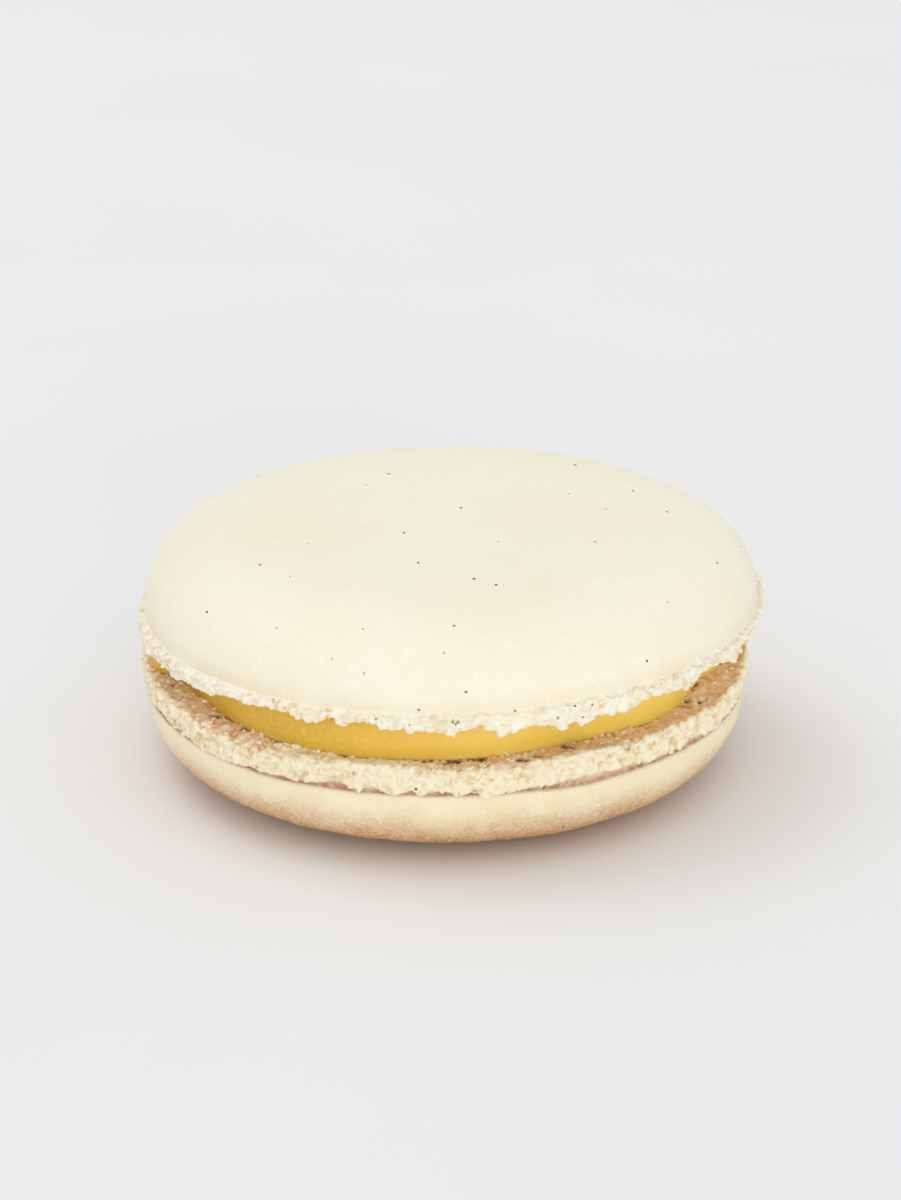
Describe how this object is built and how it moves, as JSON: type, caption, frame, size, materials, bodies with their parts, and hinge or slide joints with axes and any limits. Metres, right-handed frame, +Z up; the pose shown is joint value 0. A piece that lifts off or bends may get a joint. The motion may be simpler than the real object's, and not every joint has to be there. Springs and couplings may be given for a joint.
{
  "type": "macaron",
  "caption": "Round sandwich biscuit: two smooth domed meringue shells with ruffled feet around a flat layer of filling.",
  "frame": {"origin": "middle of the macaron's footprint, on the surface it rests on", "axes": "+Z up through both shells, -Y towards the front, +X to the right, where the filling shows widest"},
  "size_m": [0.05, 0.0498, 0.0194],
  "materials": {
    "meringue": "matt, fine grained, like an eggshell",
    "filling": "smooth, soft satin sheen"
  },
  "bodies": {
    "root": {"shell_bottom": "meringue", "filling": "filling", "shell_top": "meringue"}
  },
  "joints": []
}
